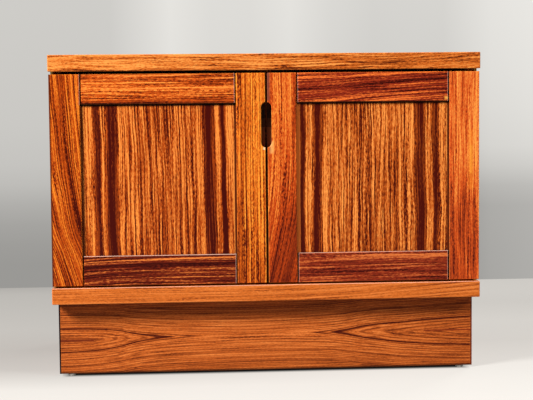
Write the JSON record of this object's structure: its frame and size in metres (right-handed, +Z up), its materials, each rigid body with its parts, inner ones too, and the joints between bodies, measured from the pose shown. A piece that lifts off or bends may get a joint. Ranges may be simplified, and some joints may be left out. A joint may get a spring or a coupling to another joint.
{
  "type": "record cabinet",
  "caption": "Low free-standing wooden record cabinet with frame-and-panel doors that share a slotted finger pull, upright sleeve slots inside, and a set-back plinth.",
  "frame": {"origin": "on the floor under the middle of the cabinet's outline", "axes": "+X towards the right as one faces the doors, +Y from the doors to the back, +Z up"},
  "size_m": [0.778, 0.44, 0.582],
  "materials": {
    "rosewood_solid": "satin lacquer",
    "rosewood_veneer": "satin lacquer",
    "panel_veneer": "satin lacquer",
    "dark_bead": "satin lacquer",
    "interior_veneer": "matt lacquer",
    "softwood": "planed, bare",
    "brass": "satin",
    "steel": "zinc plated",
    "white_nylon": "moulded",
    "brown_plastic": "moulded",
    "felt": "pressed felt"
  },
  "bodies": {
    "carcass": {"bottom_panel": "rosewood_veneer", "bottom_front_lipping": "rosewood_solid", "bottom_left_lipping": "rosewood_solid", "bottom_right_lipping": "rosewood_solid", "top_panel": "rosewood_veneer", "top_front_lipping": "rosewood_solid", "top_left_lipping": "rosewood_solid", "top_right_lipping": "rosewood_solid", "left_side_panel": "rosewood_veneer", "plinth_left_board": "rosewood_veneer", "left_side_lipping": "rosewood_solid", "plinth_left_corner_bead": "dark_bead", "left_catch": "brown_plastic", "left_hinge_slab_leaf_bottom": "brass", "left_hinge_slab_leaf_top": "brass", "corner_block_front_left": "softwood", "glide_front_left": "white_nylon", "corner_block_rear_left": "softwood", "glide_rear_left": "white_nylon", "right_side_panel": "rosewood_veneer", "plinth_right_board": "rosewood_veneer", "right_side_lipping": "rosewood_solid", "plinth_right_corner_bead": "dark_bead", "right_catch": "brown_plastic", "right_hinge_slab_leaf_bottom": "brass", "right_hinge_slab_leaf_top": "brass", "corner_block_front_right": "softwood", "glide_front_right": "white_nylon", "corner_block_rear_right": "softwood", "glide_rear_right": "white_nylon", "centre_partition": "interior_veneer", "back_panel": "interior_veneer", "record_divider_1": "interior_veneer", "record_divider_2": "interior_veneer", "record_divider_3": "interior_veneer", "record_divider_4": "interior_veneer", "record_divider_5": "interior_veneer", "record_divider_6": "interior_veneer", "partition_lipping": "rosewood_solid", "plinth_front_board": "rosewood_veneer", "plinth_rear_board": "rosewood_veneer", "plinth_cross_rail": "softwood"},
    "left_door": {"left_door_hinge_stile": "rosewood_solid", "left_door_meeting_stile": "rosewood_solid", "left_door_bottom_rail": "rosewood_solid", "left_door_top_rail": "rosewood_solid", "left_door_panel": "panel_veneer", "left_door_hinge_leaf_top": "brass", "left_door_hinge_leaf_bottom": "brass", "left_door_strike_plate": "steel", "left_door_bumper": "felt"},
    "right_door": {"right_door_hinge_stile": "rosewood_solid", "right_door_meeting_stile": "rosewood_solid", "right_door_bottom_rail": "rosewood_solid", "right_door_top_rail": "rosewood_solid", "right_door_panel": "panel_veneer", "right_door_hinge_leaf_top": "brass", "right_door_hinge_leaf_bottom": "brass", "right_door_strike_plate": "steel", "right_door_bumper": "felt"}
  },
  "joints": [
    {"name": "left_door_hinge", "type": "hinge", "parent": "carcass", "child": "left_door", "pos_m": [-0.382, -0.205, 0.1675], "axis": [0, 0, -1], "range_deg": [0, 180]},
    {"name": "right_door_hinge", "type": "hinge", "parent": "carcass", "child": "right_door", "pos_m": [0.382, -0.205, 0.1675], "axis": [0, 0, 1], "range_deg": [0, 180]}
  ]
}
